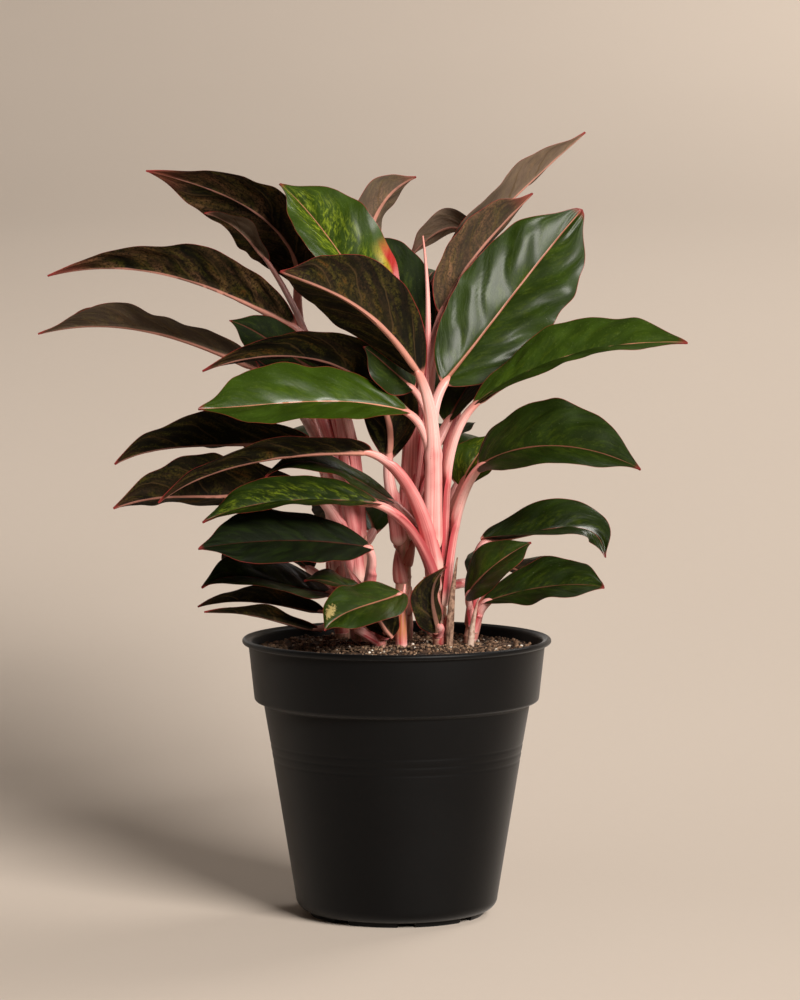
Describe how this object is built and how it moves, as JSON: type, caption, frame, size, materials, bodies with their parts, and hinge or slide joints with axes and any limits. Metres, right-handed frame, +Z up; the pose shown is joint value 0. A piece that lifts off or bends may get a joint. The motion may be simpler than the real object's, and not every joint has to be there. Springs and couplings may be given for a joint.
{
  "type": "potted jungle red aglaonema",
  "caption": "Potted aroid house plant: canes with pink stalks and red-edged green leaves, standing in soil in a tapered black grower's pot.",
  "frame": {"origin": "middle of the pot's underside, on the surface the pot stands on", "axes": "+Z up along the pot's axis; -Y is the side the picture shows, with +X to its right"},
  "size_m": [0.3942, 0.2752, 0.4813],
  "materials": {
    "pot_plastic": "satin black moulded plastic with a faint grain",
    "potting_mix": "loose dark peat with pale fibres and white grains",
    "pink_stalk": "smooth salmon pink, paler on the ribs and redder at the sheath edges",
    "leaf": "glossy deep green above, bronze olive below, with a pink rib and a red edge",
    "dry_sheath": "dry papery brown",
    "young_shoot": "pale tan with a pink tip"
  },
  "bodies": {
    "root": {"pot": "pot_plastic", "soil": "potting_mix", "stem_front": "pink_stalk", "stem_left": "pink_stalk", "stem_rear_left": "pink_stalk", "stem_middle": "pink_stalk", "stem_right": "pink_stalk", "stem_rear": "pink_stalk", "stem_rear_far_left": "pink_stalk", "dry_sheath": "dry_sheath", "young_shoot": "young_shoot", "leaf_left_1": "leaf", "leaf_left_2": "leaf", "leaf_left_3": "leaf", "leaf_left_4": "leaf", "leaf_left_5": "leaf", "leaf_left_6": "leaf", "leaf_left_7": "leaf", "leaf_left_8": "leaf", "leaf_left_9": "leaf", "leaf_left_10": "leaf", "leaf_left_11": "leaf", "leaf_left_12": "leaf", "leaf_left_13": "leaf", "leaf_left_14": "leaf", "leaf_left_15": "leaf", "leaf_left_16": "leaf", "leaf_left_17": "leaf", "leaf_left_18": "leaf", "leaf_front_1": "leaf", "leaf_front_2": "leaf", "leaf_front_3": "leaf", "leaf_middle_1": "leaf", "leaf_right_1": "leaf", "leaf_right_2": "leaf", "leaf_right_3": "leaf", "leaf_right_4": "leaf", "leaf_right_5": "leaf", "leaf_right_6": "leaf", "leaf_right_7": "leaf", "leaf_right_8": "leaf", "leaf_right_9": "leaf", "leaf_top_1": "leaf", "leaf_top_2": "leaf", "leaf_top_3": "leaf", "leaf_top_4": "leaf", "leaf_top_5": "leaf", "leaf_top_6": "leaf", "leaf_top_7": "leaf", "leaf_back_1": "leaf", "leaf_back_2": "leaf", "leaf_back_3": "leaf", "leaf_back_4": "leaf", "leaf_back_5": "leaf", "leaf_back_6": "leaf", "leaf_back_7": "leaf"}
  },
  "joints": []
}
